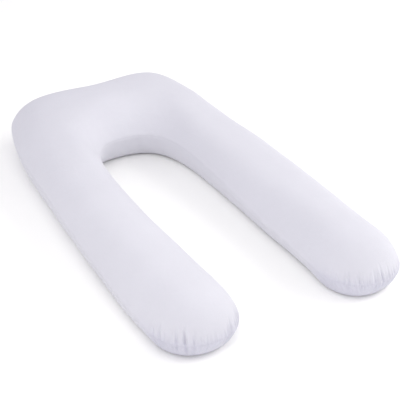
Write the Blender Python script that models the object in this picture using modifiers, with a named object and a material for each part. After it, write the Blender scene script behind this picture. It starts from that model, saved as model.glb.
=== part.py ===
"""A U-shaped body pillow: one filled cloth bag lying on its flat side.

Metres, +Z up. The two arms point along -Y and the head of the U is at +Y. The
origin is on the floor, under the middle of the pillow's outline.

The right half is a loft. Ribs lie across the filling from the outer edge to
the inner edge, the line midway between them is the middle line, and rings run
round the whole outline: flat under the pillow, up to the seam at its widest,
and over the crown to the middle line. A mirror makes the left half and a
subdivision surface rounds the coarse cage.
"""
import math

import bmesh
import bpy
import numpy as np

# Ribs from the middle of the head to the end of the arm. Every row has the
# place of the rib, its ends on the outer and the inner edge as seen from
# above, the height of the crown and the height of the seam.
RIB_COLUMNS = ("outer_x", "outer_y", "inner_x", "inner_y", "crown", "seam")
RIBS = (
    ("head middle", 0.000, 0.660, 0.000, 0.358, 0.216, 0.096),
    ("head", 0.125, 0.695, 0.078, 0.341, 0.210, 0.096),
    ("head corner", 0.258, 0.693, 0.124, 0.272, 0.196, 0.094),
    ("shoulder", 0.324, 0.583, 0.142, 0.196, 0.181, 0.091),
    ("inner arch foot", 0.352, 0.462, 0.149, 0.122, 0.169, 0.087),
    ("arm root", 0.369, 0.336, 0.152, 0.045, 0.160, 0.084),
    ("upper arm", 0.384, 0.180, 0.153, -0.052, 0.153, 0.080),
    ("middle arm", 0.395, -0.006, 0.151, -0.167, 0.150, 0.075),
    ("lower arm", 0.399, -0.207, 0.147, -0.293, 0.151, 0.069),
    ("before the end", 0.400, -0.410, 0.143, -0.421, 0.155, 0.062),
    ("arm end", 0.398, -0.555, 0.138, -0.555, 0.160, 0.057),
)
STEPS_PER_RIB = 2

# The rounded end of an arm, past its last rib.
END_REACH = 0.1455
END_SQUARENESS = 2.16

# Cross-section between the edge and the middle line. A share is measured on
# that way: 0 is the edge, 1 the middle line.
CROWN_SQUARENESS = 2.3
BELLY_ANGLE = math.radians(45.0)
CONTACT_SHARE = 0.30
FLAT_RING_SHARE = 0.62
SEAM_SHARPNESS = 0.55

# Gathers where the cloth is drawn in round the end of an arm.
GATHERS = 14
GATHER_DEPTH = 0.0065
GATHER_BULGE = 0.0030
GATHER_UNEVENNESS = 0.45
GATHER_SEED = 7
# How strongly the gathers show under the seam, on it, and on each ring above it.
BELLY_GATHER = 0.8
SEAM_GATHER = 0.35
CROWN_GATHERS = (1.0, 0.5, 0.0)

CLOTH_COLOUR = (0.80, 0.79, 0.86, 1.0)
CLOTH_ROUGHNESS = 0.85


def clear_scene():
    """Take every object out of the scene."""
    for thing in list(bpy.data.objects):
        bpy.data.objects.remove(thing, do_unlink=True)


def new_collection(name):
    """A fresh collection in the scene."""
    group = bpy.data.collections.new(name)
    bpy.context.scene.collection.children.link(group)
    return group


def cloth_material():
    """White cotton cover with a faint lavender tint."""
    cloth = bpy.data.materials.new("white cotton cover")
    cloth.use_nodes = True
    shader = cloth.node_tree.nodes["Principled BSDF"]
    shader.inputs["Base Color"].default_value = CLOTH_COLOUR
    shader.inputs["Roughness"].default_value = CLOTH_ROUGHNESS
    shader.inputs["Metallic"].default_value = 0.0
    return cloth


def smooth_ribs():
    """The rib table with extra ribs between its rows, as a dictionary of columns.

    Every column is a Catmull-Rom curve through the table's rows. Past the
    middle of the head the table goes on as its mirror image.
    """
    table = np.array([row[1:] for row in RIBS])
    beyond_head = table[1] * (-1.0, 1.0, -1.0, 1.0, 1.0, 1.0)
    beyond_end = 2.0 * table[-1] - table[-2]
    knots = np.vstack((beyond_head, table, beyond_end))
    last = len(table) - 1
    place = np.arange(last * STEPS_PER_RIB + 1) / STEPS_PER_RIB
    row = np.minimum(place.astype(int), last - 1)
    t = (place - row)[:, None]
    before, here, there, after = (knots[row + k] for k in range(4))
    curve = here + 0.5 * t * (
        there - before
        + t * (2.0 * before - 5.0 * here + 4.0 * there - after)
        + t * t * (3.0 * (here - there) + after - before)
    )
    return dict(zip(RIB_COLUMNS, curve.T))


def end_arc(outer, inner):
    """Edge points round the end of the arm, with the two corner points left out.

    The arc is a superellipse on the last rib, END_REACH deep.
    """
    angle = np.linspace(0.0, math.pi, 2 * GATHERS + 1)[1:-1]
    middle = (outer + inner) / 2.0
    across = (outer - inner) / 2.0
    along = np.array((across[1], -across[0])) / np.linalg.norm(across)
    power = 2.0 / END_SQUARENESS
    cosine = np.sign(np.cos(angle)) * np.abs(np.cos(angle)) ** power
    sine = np.sin(angle) ** power
    return middle + cosine[:, None] * across + END_REACH * sine[:, None] * along


def gather_shift():
    """How far the cloth is drawn in at each point of the end arc, in metres.

    Troughs and ridges take turns, deepest in the middle of the end. Seeded
    noise makes them as uneven as hand-gathered cloth.
    """
    count = 2 * GATHERS - 1
    noise = np.random.default_rng(GATHER_SEED).uniform(-1.0, 1.0, count)
    fade = np.sin(np.linspace(0.0, math.pi, count + 2)[1:-1]) ** 0.5
    trough = np.arange(count) % 2 == 0
    depth = np.where(trough, GATHER_DEPTH, -GATHER_BULGE)
    return depth * fade * (1.0 + GATHER_UNEVENNESS * noise)


def half_outline():
    """The right half's edge from the head's outer side, round the arm, to its inner side.

    Returns edge and middle-line points, crown and seam heights, gather shifts,
    and for every edge point the number of the rib that it hangs on.
    """
    rib = smooth_ribs()
    outer = np.column_stack((rib["outer_x"], rib["outer_y"]))
    inner = np.column_stack((rib["inner_x"], rib["inner_y"]))
    arc = end_arc(outer[-1], inner[-1])
    down = np.arange(len(outer))
    hangs_on = np.concatenate((down, np.full(len(arc), down[-1]), down[::-1]))
    middle = (outer + inner) / 2.0
    return {
        "edge": np.vstack((outer, arc, inner[::-1])),
        "middle": middle[hangs_on],
        "crown": rib["crown"][hangs_on],
        "seam": rib["seam"][hangs_on],
        "shift": np.concatenate((np.zeros(len(outer)), gather_shift(), np.zeros(len(inner)))),
        "hangs_on": hangs_on,
    }


def ring_profile():
    """Rings from the flat underside to the crown.

    Every ring has its share of the way in from the edge, its height below the
    seam (times the seam height) or above it (times the rise to the crown), and
    how strongly the gathers show on it.
    """
    belly_in = CONTACT_SHARE * (1.0 - math.cos(BELLY_ANGLE))
    rings = [
        {"share": FLAT_RING_SHARE, "below": 1.0, "above": 0.0, "gather": 0.0},
        {"share": CONTACT_SHARE, "below": 1.0, "above": 0.0, "gather": 0.0},
        {"share": belly_in, "below": math.sin(BELLY_ANGLE), "above": 0.0, "gather": BELLY_GATHER},
        {"share": 0.0, "below": 0.0, "above": 0.0, "gather": SEAM_GATHER},
    ]
    power = 2.0 / CROWN_SQUARENESS
    for step, gather in enumerate(CROWN_GATHERS, start=1):
        angle = step * math.pi / 2.0 / (len(CROWN_GATHERS) + 1)
        rings.append({
            "share": 1.0 - math.cos(angle) ** power,
            "below": 0.0,
            "above": math.sin(angle) ** power,
            "gather": gather,
        })
    return rings


def ring_points(outline, ring):
    """Points of one ring, an array of x, y and z."""
    inward = outline["middle"] - outline["edge"]
    length = np.linalg.norm(inward, axis=1)
    share = ring["share"] + ring["gather"] * outline["shift"] / length
    plan = outline["edge"] + inward * share[:, None]
    rise = outline["crown"] - outline["seam"]
    height = outline["seam"] * (1.0 - ring["below"]) + rise * ring["above"]
    return np.column_stack((plan, height))


def add_band(cage, lower, upper):
    """Faces between two rows of vertices; where both upper corners are one, a triangle."""
    for left in range(len(lower) - 1):
        corners = [lower[left], upper[left], upper[left + 1], lower[left + 1]]
        if upper[left] is upper[left + 1]:
            corners.pop(2)
        if lower[left] is lower[left + 1]:
            corners.pop(3)
        cage.faces.new(corners)


def half_cage():
    """The right half as an open cage that ends at the plane X = 0."""
    outline = half_outline()
    rings = ring_profile()
    cage = bmesh.new()
    rows = []
    for ring in rings:
        points = ring_points(outline, ring)
        rows.append([cage.verts.new(point) for point in points])
    seam = rows[[ring["share"] for ring in rings].index(0.0)]
    ribs = outline["hangs_on"].max() + 1
    floor = [cage.verts.new((*outline["middle"][rib], 0.0)) for rib in range(ribs)]
    ridge = [cage.verts.new((*outline["middle"][rib], outline["crown"][rib])) for rib in range(ribs)]
    rows.insert(0, [floor[rib] for rib in outline["hangs_on"]])
    rows.append([ridge[rib] for rib in outline["hangs_on"]])
    for lower, upper in zip(rows, rows[1:]):
        add_band(cage, lower, upper)
    sharpen_seam(cage, seam)
    return cage


def sharpen_seam(cage, seam):
    """Keep the seam a soft edge when the cage is rounded."""
    sharpness = cage.edges.layers.float.new("crease_edge")
    for start, stop in zip(seam, seam[1:]):
        cage.edges.get((start, stop))[sharpness] = SEAM_SHARPNESS


def make_pillow(group):
    """The filled cover, one closed body."""
    mesh = bpy.data.meshes.new("pillow")
    cage = half_cage()
    cage.to_mesh(mesh)
    cage.free()
    mesh.shade_smooth()
    mesh.materials.append(cloth_material())
    pillow = bpy.data.objects.new("pillow", mesh)
    group.objects.link(pillow)
    halves = pillow.modifiers.new("left half", "MIRROR")
    halves.use_clip = True
    halves.merge_threshold = 0.0001
    rounding = pillow.modifiers.new("rounding", "SUBSURF")
    rounding.levels = 1
    rounding.render_levels = 1
    return pillow


clear_scene()
make_pillow(new_collection("Body Pillow"))
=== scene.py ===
import math

import bpy
import numpy as np
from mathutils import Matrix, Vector


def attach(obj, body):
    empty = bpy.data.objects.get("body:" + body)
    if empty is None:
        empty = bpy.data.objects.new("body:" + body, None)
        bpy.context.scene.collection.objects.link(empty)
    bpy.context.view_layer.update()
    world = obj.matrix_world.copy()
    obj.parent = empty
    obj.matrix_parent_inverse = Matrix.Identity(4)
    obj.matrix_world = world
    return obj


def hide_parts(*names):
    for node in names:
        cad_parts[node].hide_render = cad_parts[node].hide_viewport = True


# A U-shaped body pillow: a filled white cotton cover lying on a white floor.
# Metres, +Z up. The arms point along -Y and the head of the U is at +Y.

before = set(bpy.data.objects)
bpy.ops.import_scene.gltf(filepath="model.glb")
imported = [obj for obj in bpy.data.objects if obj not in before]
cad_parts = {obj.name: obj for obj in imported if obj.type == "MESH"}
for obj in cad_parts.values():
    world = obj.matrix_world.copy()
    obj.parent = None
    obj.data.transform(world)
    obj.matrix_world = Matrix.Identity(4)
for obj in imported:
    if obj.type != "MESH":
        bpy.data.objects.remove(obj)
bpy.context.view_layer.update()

# ------------------------------------------------------------ the cover's form

# Ribs across the filling, from the end of the left arm over the head to the
# end of the right arm: their ends on the outer and the inner edge seen from
# above, the height of the crown, the height of the seam, how square the crown
# is on the outer and on the inner side, 2 for a round one, the angle in degrees
# by which the belly tucks in under the seam, and how far in it meets the floor,
# as a share of the way to the middle line. The two halves differ by some
# millimetres, as a filled pillow's do, and the filling lies flatter in the head
# than in the arms.
RIB_COLUMNS = (
    "outer_x", "outer_y", "inner_x", "inner_y",
    "crown", "seam", "outer_square", "inner_square", "tuck", "contact",
)
RIBS = (
    ("left arm end", -0.396, -0.549, -0.130, -0.549, 0.163, 0.057, 2.4, 2.4, 46, 0.31),
    ("left before the end", -0.399, -0.410, -0.134, -0.420, 0.157, 0.065, 2.4, 2.4, 38, 0.33),
    ("left lower arm", -0.392, -0.208, -0.140, -0.295, 0.153, 0.073, 2.4, 2.4, 32, 0.36),
    ("left middle arm", -0.380, -0.014, -0.147, -0.170, 0.152, 0.080, 2.4, 2.4, 30, 0.35),
    ("left upper arm", -0.366, 0.162, -0.150, -0.057, 0.152, 0.084, 2.4, 2.4, 30, 0.35),
    ("left arm root", -0.354, 0.318, -0.148, 0.038, 0.156, 0.086, 2.4, 2.4, 30, 0.36),
    ("left arch foot", -0.340, 0.448, -0.145, 0.115, 0.165, 0.088, 2.4, 2.3, 30, 0.37),
    ("left shoulder", -0.313, 0.566, -0.140, 0.194, 0.178, 0.092, 2.5, 2.2, 30, 0.37),
    ("left head corner", -0.252, 0.678, -0.124, 0.273, 0.192, 0.095, 2.7, 2.1, 30, 0.37),
    ("left head", -0.124, 0.684, -0.078, 0.342, 0.202, 0.096, 3.1, 2.1, 30, 0.37),
    ("head middle", 0.000, 0.662, 0.000, 0.360, 0.203, 0.096, 3.5, 2.1, 30, 0.37),
    ("right head", 0.124, 0.681, 0.077, 0.338, 0.197, 0.096, 3.8, 2.1, 30, 0.37),
    ("right head corner", 0.255, 0.685, 0.123, 0.272, 0.190, 0.095, 3.8, 2.1, 30, 0.37),
    ("right shoulder", 0.319, 0.581, 0.140, 0.194, 0.180, 0.092, 3.7, 2.2, 30, 0.37),
    ("right arch foot", 0.347, 0.457, 0.146, 0.116, 0.168, 0.088, 3.5, 2.3, 30, 0.37),
    ("right arm root", 0.366, 0.334, 0.147, 0.037, 0.158, 0.084, 3.3, 2.3, 30, 0.37),
    ("right upper arm", 0.385, 0.181, 0.147, -0.059, 0.152, 0.080, 3.0, 2.4, 30, 0.37),
    ("right middle arm", 0.400, -0.001, 0.147, -0.170, 0.150, 0.074, 2.8, 2.4, 30, 0.37),
    ("right lower arm", 0.405, -0.204, 0.147, -0.294, 0.153, 0.068, 2.6, 2.4, 32, 0.37),
    ("right before the end", 0.404, -0.410, 0.150, -0.421, 0.158, 0.063, 2.4, 2.4, 38, 0.40),
    ("right arm end", 0.403, -0.549, 0.148, -0.549, 0.162, 0.060, 2.4, 2.4, 46, 0.32),
)

# How far an arm's end reaches past its last rib, and how square it is. The
# crown leaves the seam at the angle CROWN_START of its curve.
END_REACH = 0.146
END_SQUARENESS = 2.16
CROWN_START = math.radians(30.0)

# Grid of the cloth, before it is subdivided once: steps between the ribs of one
# half and round an arm's end, rings over the crown, the belly and the floor,
# how much they crowd at the seam, and which ring is the last below the seam. On
# the cutting pattern the under panel lies beside the upper one.
RIB_STEPS = 84
END_STEPS = 200
CROWN_RINGS = 20
BELLY_RINGS = 9
FLOOR_RINGS = 5
RING_CROWDING = 1.35
SEAM_RING = FLOOR_RINGS - 1 + BELLY_RINGS
UNDER_PANEL_SHIFT = (1.2, 0.0)

# Folds of the gathers along the seam round the two arms' ends: place along
# the edge from the end's middle, positive on the inner side, depth (a ridge
# where it is negative), half width, how far it runs up from the seam, and how
# far it leans sideways for each metre up.
GATHER_COLUMNS = ("place", "depth", "width", "length", "lean")
LEFT_GATHERS = (
    (-0.192, 0.0010, 0.0050, 0.030, -0.30),
    (-0.178, 0.0026, 0.0030, 0.036, -0.25),
    (-0.168, -0.0012, 0.0045, 0.034, -0.20),
    (-0.156, 0.0028, 0.0030, 0.044, -0.20),
    (-0.141, 0.0016, 0.0036, 0.030, -0.15),
    (-0.124, 0.0020, 0.0028, 0.030, 0.10),
    (-0.115, 0.0022, 0.0028, 0.038, -0.10),
    (-0.104, 0.0038, 0.0029, 0.048, -0.06),
    (-0.094, -0.0016, 0.0040, 0.036, 0.05),
    (-0.079, 0.0048, 0.0029, 0.054, -0.10),
    (-0.071, -0.0022, 0.0034, 0.046, -0.10),
    (-0.057, 0.0030, 0.0027, 0.040, 0.08),
    (-0.046, 0.0022, 0.0024, 0.026, 0.04),
    (-0.038, 0.0020, 0.0024, 0.032, 0.00),
    (-0.030, 0.0013, 0.0022, 0.024, 0.00),
    (-0.021, 0.0018, 0.0026, 0.028, 0.05),
    (-0.010, 0.0010, 0.0030, 0.022, 0.00),
    (0.002, 0.0016, 0.0032, 0.028, 0.10),
    (0.020, 0.0008, 0.0045, 0.020, 0.10),
    (0.034, 0.0013, 0.0032, 0.026, 0.15),
    (0.047, 0.0020, 0.0030, 0.034, 0.20),
    (0.054, -0.0016, 0.0032, 0.036, 0.20),
    (0.062, 0.0038, 0.0028, 0.044, 0.22),
    (0.075, -0.0020, 0.0036, 0.042, 0.25),
    (0.087, 0.0024, 0.0028, 0.034, 0.20),
    (0.101, 0.0030, 0.0028, 0.042, 0.25),
    (0.113, 0.0036, 0.0029, 0.050, 0.22),
    (0.126, 0.0032, 0.0028, 0.046, 0.20),
    (0.143, 0.0014, 0.0040, 0.034, 0.20),
    (0.165, 0.0010, 0.0050, 0.030, 0.20),
)
RIGHT_GATHERS = (
    (-0.176, 0.0009, 0.0050, 0.028, -0.20),
    (-0.151, 0.0014, 0.0040, 0.034, -0.20),
    (-0.128, 0.0010, 0.0040, 0.026, -0.15),
    (-0.106, 0.0016, 0.0034, 0.032, -0.15),
    (-0.091, 0.0012, 0.0030, 0.028, -0.10),
    (-0.073, 0.0018, 0.0032, 0.030, -0.12),
    (-0.054, 0.0022, 0.0032, 0.034, -0.10),
    (-0.042, 0.0012, 0.0026, 0.026, -0.05),
    (-0.029, 0.0026, 0.0025, 0.038, -0.08),
    (-0.017, 0.0014, 0.0026, 0.030, 0.00),
    (-0.006, 0.0040, 0.0026, 0.046, 0.03),
    (0.003, -0.0026, 0.0032, 0.044, 0.05),
    (0.011, 0.0018, 0.0026, 0.034, 0.05),
    (0.019, 0.0031, 0.0024, 0.040, 0.06),
    (0.027, -0.0018, 0.0028, 0.036, 0.08),
    (0.036, 0.0016, 0.0026, 0.032, 0.05),
    (0.045, 0.0014, 0.0026, 0.028, 0.10),
    (0.054, 0.0024, 0.0028, 0.034, 0.14),
    (0.064, 0.0032, 0.0026, 0.040, 0.18),
    (0.078, 0.0018, 0.0030, 0.032, 0.20),
    (0.095, 0.0030, 0.0028, 0.040, 0.25),
    (0.108, 0.0018, 0.0034, 0.034, 0.25),
    (0.120, -0.0010, 0.0040, 0.030, 0.25),
    (0.131, 0.0016, 0.0038, 0.032, 0.25),
    (0.152, 0.0012, 0.0044, 0.030, 0.25),
    (0.171, 0.0009, 0.0050, 0.026, 0.25),
)

# All folds: a factor on every depth, a factor on every length, the power of
# their fading upwards, how fast they fade below the seam, and the share of a
# dip that the stitches take out at the seam, with its reach to both sides.
FOLD_STRENGTH = 2.3
FOLD_REACH = 1.25
FOLD_FADING = 1.5
FOLD_BELOW_SEAM = 0.022
SEAM_HOLD = 0.78
SEAM_HOLD_REACH = 0.0075

# Across a fold, in half widths of its own: the rounding of its bottom, and the
# place and the width of the low shoulders beside it. Their height is a share of
# its depth.
FOLD_ROUNDING = 0.3
SHOULDER_PLACE = 2.4
SHOULDER_WIDTH = 1.1
SHOULDER_HEIGHT = 0.28

# The sewn seam: a groove with a low welt on both sides, and small puckers of
# the stitching along it. The pitch of the puckers wanders by two slow waves,
# given by radians for each metre along the edge, size, and start. They reach
# PUCKERED_EDGE along the edge from the middle of an arm's end, and fade out over
# the last PUCKERED_FADE.
SEAM_DEPTH = 0.0014
SEAM_WIDTH = 0.0032
WELT_HEIGHT = 0.0002
WELT_OFFSET = 0.0085
PUCKER_PITCH = 0.0073
PUCKER_DEPTH = 0.0005
PUCKER_REACH = 0.010
PUCKER_WANDER = ((61.0, 0.9, 0.0), (137.0, 0.7, 1.0))
PUCKERED_EDGE = 0.24
PUCKERED_FADE = 0.06

# Unevenness of the filling: long soft waves in random directions, which fade
# out towards the seam over LUMP_MARGIN.
LUMP_SEED = 11
LUMP_WAVES = 36
LUMP_LENGTHS = (0.09, 0.28)
LUMP_HEIGHT = 0.0008
LUMP_MARGIN = 0.07

# Up to this height the floor presses folds and lumps flat, fully at the floor.
PRESSED_HEIGHT = 0.02

# Painted shade round the arms' ends, darkening the colour at and below the seam
# and in the tight gathers: how far it reaches along the edge from the middle of
# an arm's end, over what stretch it fades out, and how far above the seam it
# falls to about a third.
PAINTED_SHADE_EDGE = 0.28
PAINTED_SHADE_FADE = 0.10
PAINTED_SHADE_RISE = 0.014


def spline_columns(table, places):
    """Natural cubic splines through a table's rows, read at the given places.

    Row numbers are the knots. The second derivatives of every column solve the
    usual tridiagonal system, with both ends free.
    """
    rows = len(table)
    system = np.zeros((rows, rows))
    wanted = np.zeros_like(table)
    inner = np.arange(1, rows - 1)
    system[inner, inner - 1] = 1.0
    system[inner, inner] = 4.0
    system[inner, inner + 1] = 1.0
    wanted[1:-1] = 6.0 * (table[2:] - 2.0 * table[1:-1] + table[:-2])
    system[0, 0] = 1.0
    system[-1, -1] = 1.0
    bend = np.linalg.solve(system, wanted)
    row = np.minimum(places.astype(int), rows - 2)
    t = (places - row)[:, None]
    rest = 1.0 - t
    return (
        rest * table[row] + t * table[row + 1]
        + (rest ** 3 - rest) * bend[row] / 6.0
        + (t ** 3 - t) * bend[row + 1] / 6.0
    )


def rib_curves():
    """The rib table as smooth curves, read at 2 RIB_STEPS + 1 ribs in all."""
    table = np.array([row[1:] for row in RIBS])
    places = np.linspace(0.0, len(table) - 1.0, 2 * RIB_STEPS + 1)
    return dict(zip(RIB_COLUMNS, spline_columns(table, places).T))


def end_arc(start, end):
    """Edge of an arm's end: half a superellipse on its last rib, END_REACH deep.

    Across the rib it runs as the cosine and along the arm as the sine, both to
    the power 2 / END_SQUARENESS.
    """
    angle = np.linspace(0.0, math.pi, END_STEPS + 1)[1:-1]
    middle = (start + end) / 2.0
    across = (start - end) / 2.0
    along = np.array((across[1], -across[0])) / np.linalg.norm(across)
    power = 2.0 / END_SQUARENESS
    cosine = np.sign(np.cos(angle)) * np.abs(np.cos(angle)) ** power
    sine = np.sin(angle) ** power
    return middle + cosine[:, None] * across + END_REACH * sine[:, None] * along


def end_blend(start, end):
    """A value that changes evenly along the edge of an arm's end."""
    return np.linspace(start, end, END_STEPS + 1)[1:-1]


def pillow_edge():
    """The whole edge as one closed loop, clockwise from above.

    It runs from the left arm along the outer side over the head to the right
    arm, round its end, back along the inner side, and round the left arm's end.
    Each place on it has its point, its point on the middle line, the crown's
    and the seam's height, the belly's tuck and contact, the crown's squareness,
    the number of the rib it hangs on, and "around": its distance along the edge
    from the middle of its own arm's end, positive on the inner side.
    """
    rib = rib_curves()
    outer = np.column_stack((rib["outer_x"], rib["outer_y"]))
    inner = np.column_stack((rib["inner_x"], rib["inner_y"]))
    right_arc = end_arc(outer[-1], inner[-1])
    left_arc = end_arc(inner[0], outer[0])
    ribs = len(outer)
    along = np.arange(ribs)
    last = np.full(len(right_arc), ribs - 1)
    first = np.zeros(len(left_arc), dtype=int)
    number = np.concatenate((along, last, along[::-1], first))
    point = np.vstack((outer, right_arc, inner[::-1], left_arc))
    steps = np.linalg.norm(np.roll(point, -1, axis=0) - point, axis=1)
    length = np.concatenate(([0.0], np.cumsum(steps)))
    right_tip = length[ribs + len(right_arc) // 2]
    left_tip = length[2 * ribs + len(right_arc) + len(left_arc) // 2]
    left_around = left_tip - length[:-1]
    past_half = left_around > length[-1] / 2.0
    left_around = np.where(past_half, left_around - length[-1], left_around)
    return {
        "point": point,
        "middle": ((outer + inner) / 2.0)[number],
        "crown": rib["crown"][number],
        "seam": rib["seam"][number],
        "tuck": np.radians(rib["tuck"])[number],
        "contact": rib["contact"][number],
        "square": np.concatenate((
            rib["outer_square"],
            end_blend(rib["outer_square"][-1], rib["inner_square"][-1]),
            rib["inner_square"][::-1],
            end_blend(rib["inner_square"][0], rib["outer_square"][0]),
        )),
        "around": np.where(point[:, 0] > 0.0, length[:-1] - right_tip, left_around),
        "rib": number,
    }


def ring_angles(tuck):
    """Angles of the rings of the belly and of the crown, in radians.

    The crown's run from CROWN_START at the seam to a right angle at the top, the
    belly's from each place's tuck to a right angle at the line of contact. A
    power law crowds the rings next to the seam.
    """
    belly_share = np.linspace(1.0, 0.0, BELLY_RINGS + 1)[:-1] ** RING_CROWDING
    crown_share = np.linspace(0.0, 1.0, CROWN_RINGS + 1)[:-1] ** RING_CROWDING
    belly = tuck + (math.pi / 2.0 - tuck) * belly_share[:, None]
    crown = CROWN_START + (math.pi / 2.0 - CROWN_START) * crown_share[:, None]
    return belly, crown


def cloth_rings(edge):
    """The cloth as an array of ring, place on the edge, and x, y, z.

    Above the seam a section is the upper part of a quarter of a superellipse,
    up to the crown. Below it is the lower part of a quarter of an ellipse, down
    to the line of contact, and from there it is flat. Both parts leave the seam
    at a slant, so the seam is a crease. The first and the last ring are the
    middle line, on the floor and on the crown.
    """
    tuck = edge["tuck"]
    belly, crown = ring_angles(tuck)
    power = 2.0 / edge["square"]
    widest = math.cos(CROWN_START) ** power
    lowest = math.sin(CROWN_START) ** power
    over = 1.0 - np.cos(crown) ** power / widest
    climb = (np.sin(crown) ** power - lowest) / (1.0 - lowest)
    under = edge["contact"] * (1.0 - np.cos(belly) / np.cos(tuck))
    drop = (np.sin(belly) - np.sin(tuck)) / (1.0 - np.sin(tuck))
    flat = np.linspace(1.0, edge["contact"], FLOOR_RINGS + 1)[:-1]
    whole = np.ones_like(edge["seam"])
    share = np.vstack((flat, under, over, whole))
    height = np.vstack((
        0.0 * flat,
        (1.0 - drop) * edge["seam"],
        edge["seam"] + climb * (edge["crown"] - edge["seam"]),
        edge["crown"],
    ))
    inward = edge["middle"] - edge["point"]
    plan = edge["point"] + share[:, :, None] * inward
    return np.concatenate((plan, height[:, :, None]), axis=2)


def rise_from_seam(rings):
    """Distance from the seam along the cloth, above it positive, below it negative.

    It is the sum of the straight steps from ring to ring.
    """
    steps = np.linalg.norm(np.diff(rings, axis=0), axis=2)
    length = np.vstack((np.zeros(steps.shape[1]), np.cumsum(steps, axis=0)))
    return length - length[SEAM_RING + 1]


def flat_pattern(rise, edge):
    """Where the cloth lies on its cutting pattern, in metres: under and upper panel.

    A panel spreads out from the middle line. Every point keeps its distance
    from that line along the cloth, in the direction of its edge point, so the
    weave runs straight along the whole pillow.
    """
    outward = edge["point"] - edge["middle"]
    outward = outward / np.linalg.norm(outward, axis=1)[:, None]
    upper = edge["middle"] + outward * (rise[-1] - rise)[:, :, None]
    under = edge["middle"] + outward * (rise - rise[0])[:, :, None]
    return under + np.array(UNDER_PANEL_SHIFT), upper


def corners(values):
    """Values at the four corners of every face between two rings, (faces, 4, ...).

    The order is lower here, upper here, upper next, lower next, which makes
    the faces point outwards.
    """
    following = np.roll(values, -1, axis=1)
    quads = np.stack((values[:-1], values[1:], following[1:], following[:-1]), axis=2)
    return quads.reshape(-1, 4, *values.shape[2:])


def vertex_numbers(edge, rings):
    """Vertex number of every ring and place.

    The places of a rib share its two middle points, on the floor and the crown.
    """
    places = len(edge["rib"])
    ribs = edge["rib"].max() + 1
    inner = np.arange((rings - 2) * places).reshape(rings - 2, places)
    floor = inner.size + edge["rib"]
    crown = inner.size + ribs + edge["rib"]
    return np.concatenate((floor[None], inner, crown[None]))


def by_vertex(values, number):
    """Values by ring and place put in the order of the vertices."""
    ordered = np.zeros((number.max() + 1, *values.shape[2:]))
    ordered[number.ravel()] = values.reshape(-1, *values.shape[2:])
    return ordered


def new_cover():
    """The cover as a mesh object, with its cutting pattern and its seam measures.

    Faces next to a shared middle point of an arm's end are triangles, so a
    repeated corner is left out of them.
    """
    edge = pillow_edge()
    rings = cloth_rings(edge)
    rise = rise_from_seam(rings)
    number = vertex_numbers(edge, len(rings))
    faces = corners(number)
    keep = np.ones(faces.shape, dtype=bool)
    keep[:, 3] = faces[:, 3] != faces[:, 0]
    keep[:, 2] = faces[:, 2] != faces[:, 1]
    mesh = bpy.data.meshes.new("pillow_cover")
    points = by_vertex(rings, number)
    sizes = keep.sum(axis=1)
    starts = np.concatenate(([0], np.cumsum(sizes)[:-1]))
    mesh.vertices.add(len(points))
    mesh.vertices.foreach_set("co", points.astype(np.float32).ravel())
    mesh.loops.add(int(sizes.sum()))
    mesh.loops.foreach_set("vertex_index", faces[keep].astype(np.int32))
    mesh.polygons.add(len(sizes))
    mesh.polygons.foreach_set("loop_start", starts.astype(np.int32))
    mesh.update(calc_edges=True)
    under, upper = flat_pattern(rise, edge)
    pattern = corners(upper)
    low_faces = (SEAM_RING + 1) * len(edge["rib"])
    pattern[:low_faces] = corners(under)[:low_faces]
    weave = mesh.uv_layers.new(name="pattern")
    weave.uv.foreach_set("vector", pattern[keep].astype(np.float32).ravel())
    around = np.broadcast_to(edge["around"], rise.shape)
    for name, values in (("rise", rise), ("around", around)):
        measure = mesh.attributes.new(name, "FLOAT", "POINT")
        measure.data.foreach_set("value", by_vertex(values, number).astype(np.float32))
    mesh.shade_smooth()
    mesh.validate()
    cover = bpy.data.objects.new("pillow_cover", mesh)
    bpy.context.scene.collection.objects.link(cover)
    return cover


# ------------------------------------------------------------ sewing and filling

def points_of(mesh):
    """Vertex positions of a mesh as an array of x, y, z."""
    points = np.zeros(len(mesh.vertices) * 3, dtype=np.float32)
    mesh.vertices.foreach_get("co", points)
    return points.reshape(-1, 3).astype(float)


def normals_of(mesh):
    """Vertex normals of a mesh as an array of x, y, z."""
    normals = np.zeros(len(mesh.vertices) * 3, dtype=np.float32)
    mesh.vertex_normals.foreach_get("vector", normals)
    return normals.reshape(-1, 3).astype(float)


def measure_of(mesh, name):
    """A stored measure of every vertex."""
    values = np.zeros(len(mesh.vertices), dtype=np.float32)
    mesh.attributes[name].data.foreach_get("value", values)
    return values.astype(float)


def set_points(mesh, points):
    """Move the vertices of a mesh to new positions."""
    mesh.vertices.foreach_set("co", points.astype(np.float32).ravel())
    mesh.update()


def subdivided(cover):
    """The cover with one level of subdivision applied."""
    finer = cover.modifiers.new("finer cloth", "SUBSURF")
    finer.levels = 1
    finer.render_levels = 1
    finer.use_limit_surface = False
    surroundings = bpy.context.evaluated_depsgraph_get()
    mesh = bpy.data.meshes.new_from_object(cover.evaluated_get(surroundings))
    cover.modifiers.remove(finer)
    old = cover.data
    cover.data = mesh
    bpy.data.meshes.remove(old)
    mesh.name = "pillow_cover"
    mesh.shade_smooth()
    return mesh


def near_the_end(around, edge, fade):
    """1 along the edge round an arm's end, falling evenly to 0 over the last stretch."""
    return np.clip((edge - np.abs(around)) / fade, 0.0, 1.0)


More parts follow.
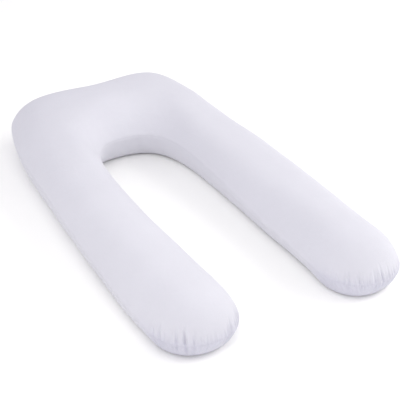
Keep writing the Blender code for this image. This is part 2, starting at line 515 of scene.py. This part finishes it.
def gather_dips(rise, around, gathers):
    """How far the folds of one arm's end dip below the cover.

    Across a fold the dip falls off as exp(-distance / half width), with a
    slightly rounded bottom, less a low shoulder on both sides. Up from the seam
    it fades as 1 - rise / length to the power FOLD_FADING, and below the seam as
    exp(rise / FOLD_BELOW_SEAM). The stitches hold the cloth in line, so at the
    seam itself only 1 - SEAM_HOLD of the dip is left.
    """
    dips = np.zeros_like(rise)
    held = 1.0 - SEAM_HOLD * np.exp(-(rise / SEAM_HOLD_REACH) ** 2)
    for fold in gathers:
        row = dict(zip(GATHER_COLUMNS, fold))
        width = row["width"]
        across = around - row["place"] - row["lean"] * rise
        distance = np.sqrt(across ** 2 + (FOLD_ROUNDING * width) ** 2)
        trough = np.exp(FOLD_ROUNDING - distance / width)
        beside = (np.abs(across) - SHOULDER_PLACE * width) / (SHOULDER_WIDTH * width)
        profile = trough - SHOULDER_HEIGHT * np.exp(-beside ** 2)
        left_over = np.clip(1.0 - rise / (FOLD_REACH * row["length"]), 0.0, 1.0)
        above = left_over ** FOLD_FADING
        below = np.exp(np.minimum(rise, 0.0) / FOLD_BELOW_SEAM)
        dips += row["depth"] * profile * np.where(rise > 0.0, above, below)
    return FOLD_STRENGTH * held * dips


def seam_dips(rise, around):
    """The seam's groove and welts, and the stitch puckers round the arms' ends.

    The groove is an exponential of the distance from the seam and a welt a bell
    curve. The puckers are a sine along the edge whose pitch wanders slowly.
    """
    away = np.abs(rise)
    groove = SEAM_DEPTH * np.exp(-away / SEAM_WIDTH)
    welts = WELT_HEIGHT * np.exp(-((away - WELT_OFFSET) / (0.5 * WELT_OFFSET)) ** 2)
    wander = sum(
        size * np.sin(rate * around + start) for rate, size, start in PUCKER_WANDER
    )
    pucker = np.sin(2.0 * math.pi * around / PUCKER_PITCH + wander)
    puckered = near_the_end(around, PUCKERED_EDGE, PUCKERED_FADE)
    puckers = PUCKER_DEPTH * puckered * pucker * np.exp(-away / PUCKER_REACH)
    return groove - welts + puckers


def filling_lumps(points):
    """Height of the filling's unevenness: a sum of plane waves with seeded directions.

    The longer a wave is, the higher it is.
    """
    chance = np.random.default_rng(LUMP_SEED)
    lengths = chance.uniform(*LUMP_LENGTHS, LUMP_WAVES)
    directions = chance.normal(size=(LUMP_WAVES, 3))
    directions /= np.linalg.norm(directions, axis=1)[:, None]
    phases = chance.uniform(0.0, 2.0 * math.pi, LUMP_WAVES)
    sizes = lengths / lengths.mean()
    turns = directions * (2.0 * math.pi / lengths)[:, None]
    waves = np.sin(points @ turns.T + phases) * sizes
    return LUMP_HEIGHT * waves.sum(axis=1) / math.sqrt(LUMP_WAVES / 2.0)


def sew_and_settle(mesh):
    """Work the seam, the gathers and the filling's lumps into the cover.

    The vertices move along their normals, less and less towards the floor.
    The amount of painted shade is stored on them too: 1 at and below the seam of an
    arm's end, and less the farther the cloth is above the seam or from the end.
    """
    points = points_of(mesh)
    rise = measure_of(mesh, "rise")
    around = measure_of(mesh, "around")
    left_dips = gather_dips(rise, around, LEFT_GATHERS)
    right_dips = gather_dips(rise, around, RIGHT_GATHERS)
    dips = np.where(points[:, 0] < 0.0, left_dips, right_dips)
    dips += seam_dips(rise, around)
    free = np.clip(np.abs(rise) / LUMP_MARGIN, 0.0, 1.0)
    lumps = filling_lumps(points) * free * free * (3.0 - 2.0 * free)
    away = np.clip(points[:, 2] / PRESSED_HEIGHT, 0.0, 1.0)
    moved = points + normals_of(mesh) * (lumps - dips)[:, None] * away[:, None]
    moved[:, 2] = np.maximum(moved[:, 2], 0.0)
    set_points(mesh, moved)
    # Painted shade round the arms' ends, which darkens the cover's colour.
    painted_shade_reach = near_the_end(around, PAINTED_SHADE_EDGE, PAINTED_SHADE_FADE)
    shade = painted_shade_reach * np.exp(-np.maximum(rise, 0.0) / PAINTED_SHADE_RISE)
    painted_gather_shade = mesh.attributes.new("painted_gather_shade", "FLOAT", "POINT")
    painted_gather_shade.data.foreach_set("value", shade.astype(np.float32))


# ------------------------------------------------------------ materials

COTTON_TINT = (0.715, 0.711, 0.766)
COTTON_ROUGHNESS = 0.84
COTTON_SHINE = 0.25
SHEEN_WEIGHT = 0.15
SHEEN_ROUGHNESS = 0.5
# Painted shade taken off the tint round the arms' ends, less in blue, so it reads lavender.
GATHER_PAINTED_SHADE = (-0.075, -0.076, -0.048)
# Painted shade in the seam's groove: how much darker it is, and how far it reaches.
SEAM_PAINTED_SHADE = 0.04
SEAM_PAINTED_SHADE_WIDTH = 0.0022

# Threads, slubs, crumples and cloudy patches of the cotton: sizes on the
# cutting pattern, waves of the noise in a metre, heights of the bump, and the
# shares by which they change the tone and the roughness.
THREAD_PITCH = 0.00075
THREAD_HEIGHT = 0.00006
SLUB_LENGTH = 0.030
SLUB_WIDTH = 0.0016
SLUB_HEIGHT = 0.00018
SLUB_TONE = 0.03
CRUMPLE_SCALE = 26.0
CRUMPLE_HEIGHT = 0.0012
CLOUD_SCALE = 7.0
CLOUD_TONE = 0.05
CLOUD_ROUGHNESS = 0.10

FLOOR_COLOUR = (0.98, 0.98, 0.965, 1.0)


def add_node(tree, kind, place, operation=None, **values):
    """A new shader node at a place in its tree, with its operation and inputs set."""
    made = tree.nodes.new(kind)
    made.location = place
    if operation is not None:
        made.operation = operation
    for name, value in values.items():
        made.inputs[name].default_value = value
    return made


def noise_over(tree, place, vector, **values):
    """Noise over a vector."""
    noise = add_node(tree, "ShaderNodeTexNoise", place, **values)
    tree.links.new(vector, noise.inputs["Vector"])
    return noise.outputs["Fac"]


def stretched_noise(tree, place, vector, size):
    """Noise over the cutting pattern, with its own size in the cloth's two directions."""
    scale = (1.0 / size[0], 1.0 / size[1], 1.0)
    stretch = add_node(tree, "ShaderNodeMapping", place, Scale=scale)
    tree.links.new(vector, stretch.inputs["Vector"])
    beside = (place[0] + 200, place[1])
    spread = stretch.outputs["Vector"]
    return noise_over(tree, beside, spread, Scale=1.0, Detail=1.0, Roughness=0.6)


def combine(tree, place, operation, *values):
    """A math node over its values, each of them a socket or a number."""
    math_node = add_node(tree, "ShaderNodeMath", place, operation)
    for socket, value in zip(math_node.inputs, values):
        if isinstance(value, (int, float)):
            socket.default_value = value
        else:
            tree.links.new(value, socket)
    return math_node.outputs["Value"]


def bump_layer(tree, place, height, metres, below=None):
    """The normal of one layer of bump, its full height in metres, over the layer below."""
    bump = add_node(tree, "ShaderNodeBump", place, Strength=1.0, Distance=metres)
    tree.links.new(height, bump.inputs["Height"])
    if below is not None:
        tree.links.new(below, bump.inputs["Normal"])
    return bump.outputs["Normal"]


def stored_measure(tree, place, name):
    """A measure that is stored on the cover's vertices."""
    measure = add_node(tree, "ShaderNodeAttribute", place)
    measure.attribute_name = name
    return measure.outputs["Fac"]


def plain_weave(tree, pattern):
    """Height of a plain weave: one sine across the warp times one across the weft."""
    split = add_node(tree, "ShaderNodeSeparateXYZ", (-1500, 500))
    tree.links.new(pattern, split.inputs["Vector"])
    turns = math.pi / THREAD_PITCH
    warp = combine(tree, (-1300, 600), "MULTIPLY", split.outputs["X"], turns)
    weft = combine(tree, (-1300, 400), "MULTIPLY", split.outputs["Y"], turns)
    across = combine(tree, (-1100, 600), "SINE", warp)
    along = combine(tree, (-1100, 400), "SINE", weft)
    return combine(tree, (-900, 500), "MULTIPLY", across, along)


def warp_and_weft_slubs(tree, pattern):
    """Long thick places in the threads of both directions, added up."""
    warp = stretched_noise(tree, (-1500, 200), pattern, (SLUB_WIDTH, SLUB_LENGTH))
    weft = stretched_noise(tree, (-1500, -100), pattern, (SLUB_LENGTH, SLUB_WIDTH))
    return combine(tree, (-1000, 50), "ADD", warp, weft)


def cloth_tone(tree, slubs, clouds):
    """Brightness of the cloth: painted shade darkens it in the seam's groove, slubs and
    clouds make it uneven.
    """
    # Painted shade along the seam: the colour darkens towards the seam line.
    rise = stored_measure(tree, (-1900, 900), "rise")
    away = combine(tree, (-1500, 900), "ABSOLUTE", rise)
    away = combine(tree, (-1300, 900), "DIVIDE", away, SEAM_PAINTED_SHADE_WIDTH)
    away = combine(tree, (-1100, 900), "MINIMUM", away, 1.0)
    seam = combine(tree, (-900, 900), "MULTIPLY_ADD", away, SEAM_PAINTED_SHADE, 1.0 - SEAM_PAINTED_SHADE)
    least = 1.0 - CLOUD_TONE / 2.0
    cloudy = combine(tree, (-900, -700), "MULTIPLY_ADD", clouds, CLOUD_TONE, least)
    slubby = combine(tree, (-800, 50), "MULTIPLY_ADD", slubs, SLUB_TONE, 1.0 - SLUB_TONE)
    tone = combine(tree, (-550, 850), "MULTIPLY", seam, cloudy)
    return combine(tree, (-400, 700), "MULTIPLY", tone, slubby)


def cloth_colour(tree, tone):
    """The cotton's tint, darkened by painted shade round the arms' ends, times the tone."""
    link = tree.links.new
    # Painted shade round the arms' ends, at and below the seam and in the gathers.
    painted_shade_node = add_node(tree, "ShaderNodeVectorMath", (-700, 1100), "SCALE")
    painted_shade_node.inputs["Vector"].default_value = GATHER_PAINTED_SHADE
    link(stored_measure(tree, (-1900, 1100), "painted_gather_shade"), painted_shade_node.inputs["Scale"])
    tint = add_node(tree, "ShaderNodeVectorMath", (-500, 1100), "ADD")
    tint.inputs[1].default_value = COTTON_TINT
    link(painted_shade_node.outputs["Vector"], tint.inputs[0])
    tinted = add_node(tree, "ShaderNodeVectorMath", (-200, 700), "SCALE")
    link(tint.outputs["Vector"], tinted.inputs["Vector"])
    link(tone, tinted.inputs["Scale"])
    return tinted.outputs["Vector"]


def cotton_cover():
    """Washed white cotton with a faint lavender tint.

    The bump is a plain weave with slubs in its warp and weft, over soft crumples
    of a few centimetres. Colour and roughness vary a little with the slubs and
    with broad, cloudy patches. Painted shade darkens the colour in the seam's
    groove and round the arms' ends, at and below the seam and in the tight gathers.
    """
    cotton = bpy.data.materials.new("white cotton cover")
    cotton.use_nodes = True
    tree = cotton.node_tree
    link = tree.links.new
    shader = tree.nodes["Principled BSDF"]
    shader.inputs["Specular IOR Level"].default_value = COTTON_SHINE
    shader.inputs["Sheen Weight"].default_value = SHEEN_WEIGHT
    shader.inputs["Sheen Roughness"].default_value = SHEEN_ROUGHNESS

    uv_map = add_node(tree, "ShaderNodeUVMap", (-1900, 300))
    uv_map.uv_map = "pattern"
    pattern = uv_map.outputs["UV"]
    position = add_node(tree, "ShaderNodeTexCoord", (-1900, -500)).outputs["Object"]
    slubs = warp_and_weft_slubs(tree, pattern)
    crumples = noise_over(
        tree, (-1300, -400), position,
        Scale=CRUMPLE_SCALE, Detail=3.0, Roughness=0.45, Distortion=0.6,
    )
    clouds = noise_over(tree, (-1300, -700), position, Scale=CLOUD_SCALE, Detail=2.0)

    normal = bump_layer(tree, (-500, -400), crumples, CRUMPLE_HEIGHT)
    normal = bump_layer(tree, (-300, -250), slubs, SLUB_HEIGHT, normal)
    weave = plain_weave(tree, pattern)
    normal = bump_layer(tree, (-100, -100), weave, THREAD_HEIGHT, normal)
    link(normal, shader.inputs["Normal"])

    tone = cloth_tone(tree, slubs, clouds)
    link(cloth_colour(tree, tone), shader.inputs["Base Color"])
    spread, least = CLOUD_ROUGHNESS, COTTON_ROUGHNESS
    rough = combine(tree, (-200, 300), "MULTIPLY_ADD", clouds, spread, least)
    link(rough, shader.inputs["Roughness"])
    return cotton


def white_floor():
    """Matt white studio floor."""
    white = bpy.data.materials.new("white floor")
    white.use_nodes = True
    shader = white.node_tree.nodes["Principled BSDF"]
    shader.inputs["Base Color"].default_value = FLOOR_COLOUR
    shader.inputs["Roughness"].default_value = 1.0
    shader.inputs["Specular IOR Level"].default_value = 0.0
    return white


# ------------------------------------------------------------ studio

# Camera: its turn from the arms' direction and its rise, distance and aim in
# metres, lens and sensor in millimetres, and how far it sees.
CAMERA_TURN = math.radians(-29.73)
CAMERA_RISE = math.radians(31.57)
CAMERA_DISTANCE = 3.901
CAMERA_AIM = Vector((0.100, -0.024, 0.0))
CAMERA_LENS = 107.1
SENSOR_WIDTH = 36.0
SIGHT = 100.0

# Floor, even surroundings, and a wide, low lamp that lights the floor alone.
FLOOR_RADIUS = 30.0
FLOOR_SIDES = 96
SKY_LEVEL = 0.79
SKY_COLOUR = (0.95, 0.935, 1.0, 1.0)
LAMP_COLOUR = (1.0, 1.0, 0.93)
WASH_POWER = 0.78
WASH_SPREAD = math.radians(30.0)
WASH_TURN = math.radians(-70.0)
WASH_RISE = math.radians(16.0)
WASH_DISTANCE = 4.0

# Softboxes: turn round the pillow and rise in degrees, distance, width, power.
SOFTBOX_COLUMNS = ("name", "turn", "rise", "distance", "width", "power")
SOFTBOXES = (
    ("key", 80.0, 28.0, 4.0, 3.0, 39.0),
    ("near right", 60.0, 30.0, 2.4, 1.6, 7.5),
    ("near left", -45.0, 60.0, 2.1, 1.5, 11.8),
)


def backwards(turn, rise):
    """Unit vector from the aim to a camera or lamp, turned and raised by two angles."""
    return Vector((
        math.sin(turn) * math.cos(rise),
        -math.cos(turn) * math.cos(rise),
        math.sin(rise),
    ))


def add_camera():
    """The camera at the photograph's angle."""
    lens = bpy.data.cameras.new("camera")
    lens.lens = CAMERA_LENS
    lens.sensor_width = SENSOR_WIDTH
    lens.clip_end = SIGHT
    camera = bpy.data.objects.new("camera", lens)
    back = backwards(CAMERA_TURN, CAMERA_RISE)
    camera.location = CAMERA_AIM + back * CAMERA_DISTANCE
    camera.rotation_euler = back.to_track_quat("Z", "Y").to_euler()
    bpy.context.scene.collection.objects.link(camera)
    bpy.context.scene.camera = camera


def add_lamp(name, kind, power, back, distance):
    """A lamp that faces the pillow from a direction, hidden from the camera."""
    lamp = bpy.data.lights.new(name, kind)
    lamp.energy = power
    lamp.color = LAMP_COLOUR
    stand = bpy.data.objects.new(name, lamp)
    stand.location = back * distance
    stand.rotation_euler = back.to_track_quat("Z", "Y").to_euler()
    stand.visible_camera = False
    bpy.context.scene.collection.objects.link(stand)
    return stand


def add_softboxes():
    """The square softboxes of the table."""
    for values in SOFTBOXES:
        row = dict(zip(SOFTBOX_COLUMNS, values))
        back = backwards(math.radians(row["turn"]), math.radians(row["rise"]))
        softbox = add_lamp(row["name"], "AREA", row["power"], back, row["distance"])
        softbox.data.shape = "SQUARE"
        softbox.data.size = row["width"]


def add_floor():
    """A round floor, wide enough that its rim never shows."""
    turn = np.linspace(0.0, 2.0 * math.pi, FLOOR_SIDES + 1)[:-1]
    circle = np.column_stack((np.cos(turn), np.sin(turn), np.zeros_like(turn)))
    rim = FLOOR_RADIUS * circle
    mesh = bpy.data.meshes.new("floor")
    mesh.from_pydata(rim.tolist(), [], [list(range(len(rim)))])
    mesh.materials.append(white_floor())
    floor = bpy.data.objects.new("floor", mesh)
    bpy.context.scene.collection.objects.link(floor)
    return floor


def light_studio(floor):
    """Even white surroundings, the softboxes, and a low wash over the floor alone."""
    scene = bpy.context.scene
    scene.view_settings.view_transform = "Standard"
    world = bpy.data.worlds.new("studio")
    world.use_nodes = True
    sky = world.node_tree.nodes["Background"]
    sky.inputs["Color"].default_value = SKY_COLOUR
    sky.inputs["Strength"].default_value = SKY_LEVEL
    scene.world = world
    add_softboxes()
    back = backwards(WASH_TURN, WASH_RISE)
    wash = add_lamp("floor wash", "SUN", WASH_POWER, back, WASH_DISTANCE)
    wash.data.angle = WASH_SPREAD
    floor_only = bpy.data.collections.new("floor only")
    floor_only.objects.link(floor)
    wash.light_linking.receiver_collection = floor_only


# ------------------------------------------------------------ making it

cover = new_cover()
sew_and_settle(subdivided(cover))
cover.data.materials.append(cotton_cover())
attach(cover, "root")
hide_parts("pillow")
light_studio(add_floor())
add_camera()
